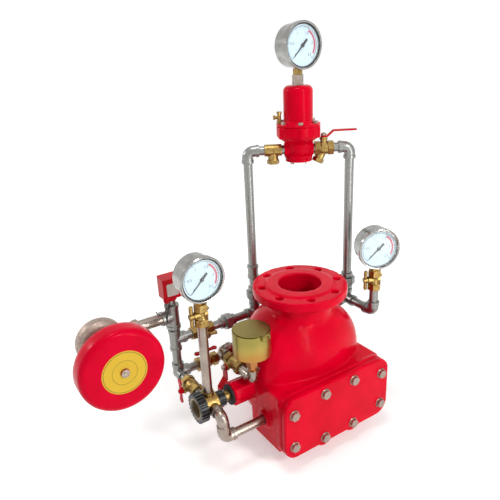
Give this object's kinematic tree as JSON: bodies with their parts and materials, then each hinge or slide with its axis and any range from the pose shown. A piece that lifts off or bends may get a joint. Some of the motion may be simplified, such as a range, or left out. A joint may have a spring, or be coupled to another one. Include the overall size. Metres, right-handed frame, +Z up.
{
  "type": "sprinkler alarm valve",
  "caption": "Flanged red dry-pipe sprinkler alarm valve with a hand-hole cover, pipe trim, ball valves, gauges, priming cup, accelerator and water motor gong.",
  "frame": {"origin": "centre of the inlet flange's raised face", "axes": "+Z up the waterway to the outlet, -Y towards the hand-hole cover, +X to the right seen from the cover"},
  "size_m": [0.7515, 0.328, 0.942],
  "materials": {
    "cast_enamel": "glossy enamel with slight orange peel over cast iron",
    "gong_enamel": "smooth glossy enamel on pressed steel",
    "switch_enamel": "gloss paint on a small steel box",
    "handle_enamel": "gloss dip coating on steel",
    "rubber": "matt black rubber",
    "plain_steel": "bare machined steel",
    "brass": "cast and turned brass, satin",
    "black_plastic": "moulded black plastic",
    "stainless": "pale stainless steel, drawn finish",
    "galvanised": "dull galvanised steel",
    "gauge_steel": "bright stainless steel",
    "dial_white": "matt pale dial with dark marks",
    "lens": "clear flat glass",
    "pointer_black": "matt black",
    "yellow_zinc": "yellow passivated zinc plate",
    "lead_black": "dull insulation",
    "cast_aluminium": "rough sand casting"
  },
  "bodies": {
    "valve": {"valve_body": "cast_enamel", "hand_cover": "cast_enamel", "gaskets": "rubber", "cover_bolts": "plain_steel", "seat_ring": "brass", "hinge_pins": "plain_steel", "drip_nipple": "brass", "drip_nut": "black_plastic", "drip_chamber": "brass", "drip_ring": "black_plastic", "drain_fittings": "stainless", "drain_pipes": "stainless", "gauge_pipe": "stainless", "alarm_fittings": "galvanised", "alarm_pipes": "galvanised", "gong_pipe": "stainless", "alarm_valve": "brass", "test_valve": "brass", "bypass_valve": "brass", "line_pipes": "galvanised", "loop_fittings": "galvanised", "loop_pipes": "galvanised", "acc_body": "cast_enamel", "acc_dome": "cast_enamel", "acc_bolts_set": "plain_steel", "acc_cap": "cast_enamel", "acc_adapter": "plain_steel", "acc_vent": "brass", "acc_tee": "brass", "acc_valve": "brass", "gauge_cocks": "brass", "gauge_cases": "gauge_steel", "gauge_stems": "brass", "gauge_bezels": "gauge_steel", "gauge_dials": "dial_white", "gauge_lenses": "lens", "priming_fittings": "stainless", "priming_pipes": "stainless", "priming_valve": "brass", "priming_cup": "yellow_zinc", "pressure_switch": "switch_enamel", "switch_leads": "lead_black", "gong_housing": "cast_aluminium", "gong_bell": "gong_enamel", "gong_spindle": "plain_steel"},
    "clapper": {"clapper": "brass", "clapper_facing": "rubber"},
    "latch": {"latch": "brass"},
    "alarm_handle": {"alarm_handle": "handle_enamel"},
    "test_handle": {"test_handle": "handle_enamel"},
    "bypass_handle": {"bypass_handle": "brass"},
    "acc_lever": {"acc_lever": "handle_enamel"},
    "left_cock_handle": {"left_cock_handle": "brass"},
    "right_cock_handle": {"right_cock_handle": "brass"},
    "left_pointer": {"left_pointer": "pointer_black"},
    "right_pointer": {"right_pointer": "pointer_black"},
    "top_pointer": {"top_pointer": "pointer_black"},
    "priming_lever": {"priming_lever": "handle_enamel"},
    "cup_lid": {"cup_lid": "yellow_zinc"},
    "gong_rotor": {"gong_rotor": "brass"}
  },
  "joints": [
    {"name": "clapper_hinge", "type": "hinge", "parent": "valve", "child": "clapper", "pos_m": [0, 0.092, 0.114], "axis": [-1, 0, 0], "range_deg": [0, 70]},
    {"name": "latch_pivot", "type": "hinge", "parent": "valve", "child": "latch", "pos_m": [0, 0.116, 0.208], "axis": [1, 0, 0], "range_deg": [-12, 0]},
    {"name": "alarm_valve_turn", "type": "hinge", "parent": "valve", "child": "alarm_handle", "pos_m": [-0.292, 0.079, 0.158], "axis": [-1, 0, 0], "range_deg": [0, 90]},
    {"name": "test_valve_turn", "type": "hinge", "parent": "valve", "child": "test_handle", "pos_m": [-0.182, 0.152, 0.188], "axis": [0, 0, 1], "range_deg": [0, 90]},
    {"name": "bypass_valve_turn", "type": "hinge", "parent": "valve", "child": "bypass_handle", "pos_m": [-0.188, 0.122, 0.25], "axis": [0, -1, 0], "range_deg": [0, 90]},
    {"name": "accelerator_valve_turn", "type": "hinge", "parent": "valve", "child": "acc_lever", "pos_m": [0.12266, 0.0604, 0.693], "axis": [0, 0, 1], "range_deg": [0, 90]},
    {"name": "left_cock_turn", "type": "hinge", "parent": "valve", "child": "left_cock_handle", "pos_m": [-0.28, 0, 0.382], "axis": [-1, 0, 0], "range_deg": [0, 90]},
    {"name": "right_cock_turn", "type": "hinge", "parent": "valve", "child": "right_cock_handle", "pos_m": [0.15659, -0.05819, 0.36], "axis": [-0.9205, 0.3907, 0], "range_deg": [0, 90]},
    {"name": "left_pointer_turn", "type": "hinge", "parent": "valve", "child": "left_pointer", "pos_m": [-0.26, -0.01, 0.467], "axis": [0, 1, 0], "range_deg": [0, 270]},
    {"name": "right_pointer_turn", "type": "hinge", "parent": "valve", "child": "right_pointer", "pos_m": [0.17109, -0.0752, 0.445], "axis": [0.3907, 0.9205, 0], "range_deg": [0, 270]},
    {"name": "top_pointer_turn", "type": "hinge", "parent": "valve", "child": "top_pointer", "pos_m": [0.0725, 0.0805, 0.892], "axis": [0, 1, 0], "range_deg": [0, 270]},
    {"name": "priming_valve_turn", "type": "hinge", "parent": "valve", "child": "priming_lever", "pos_m": [-0.191, 0.038, 0.205], "axis": [1, 0, 0], "range_deg": [0, 90]},
    {"name": "cup_lid_hinge", "type": "hinge", "parent": "valve", "child": "cup_lid", "pos_m": [-0.15868, -0.08596, 0.3331], "axis": [0.9903, 0.1392, 0], "range_deg": [0, 100]},
    {"name": "gong_spin", "type": "hinge", "parent": "valve", "child": "gong_rotor", "pos_m": [-0.434, 0.152, 0.308], "axis": [0, 1, 0], "continuous": true}
  ]
}
